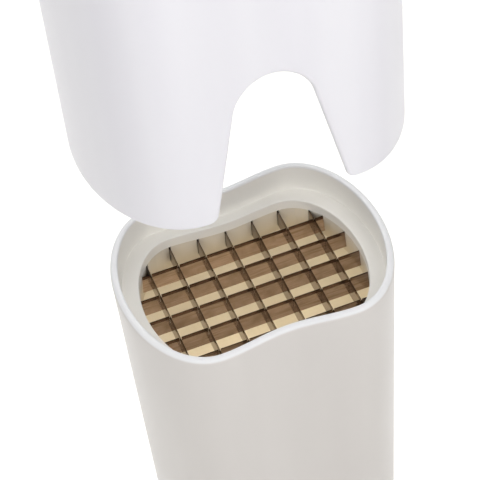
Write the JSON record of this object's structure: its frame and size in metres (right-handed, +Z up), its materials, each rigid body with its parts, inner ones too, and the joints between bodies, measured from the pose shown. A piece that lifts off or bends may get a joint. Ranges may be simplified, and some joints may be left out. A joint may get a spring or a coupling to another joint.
{
  "type": "french fry cutter",
  "caption": "Hand press in two white halves: a tall oval tube with a sunken blade grid, and a deep notched cap with pegs that telescopes over it to push a potato through.",
  "frame": {"origin": "middle of the face that the base stands on, on the axis of the press", "axes": "+Z up along the press stroke, +X along the long blades and the wide sides, +Y from the front to the back"},
  "size_m": [0.1004, 0.0804, 0.3165],
  "materials": {
    "base_plastic": "white, moulded, glossy",
    "pusher_plastic": "white, moulded, glossy, a little cooler than the base",
    "frame_plastic": "white, moulded, satin",
    "plate_plastic": "white, moulded, satin",
    "blade_steel": "rolled stainless strip, bright, with a ground edge",
    "screw_steel": "bright zinc plate"
  },
  "bodies": {
    "base": {"base_housing": "base_plastic", "blade_frame": "frame_plastic", "long_blade_1": "blade_steel", "long_blade_2": "blade_steel", "long_blade_3": "blade_steel", "long_blade_4": "blade_steel", "long_blade_5": "blade_steel", "cross_blade_1": "blade_steel", "cross_blade_2": "blade_steel", "cross_blade_3": "blade_steel", "cross_blade_4": "blade_steel", "cross_blade_5": "blade_steel", "cross_blade_6": "blade_steel", "cross_blade_7": "blade_steel", "frame_screw_1": "screw_steel", "frame_screw_2": "screw_steel", "frame_screw_3": "screw_steel", "frame_screw_4": "screw_steel"},
    "pusher": {"pusher_housing": "pusher_plastic", "pusher_plate": "plate_plastic", "plate_screw_1": "screw_steel", "plate_screw_2": "screw_steel", "plate_screw_3": "screw_steel", "plate_screw_4": "screw_steel"}
  },
  "joints": [
    {"name": "pusher_press", "type": "slide", "parent": "base", "child": "pusher", "axis": [0, 0, 1], "range_m": [-0.1797, 0.05]}
  ]
}
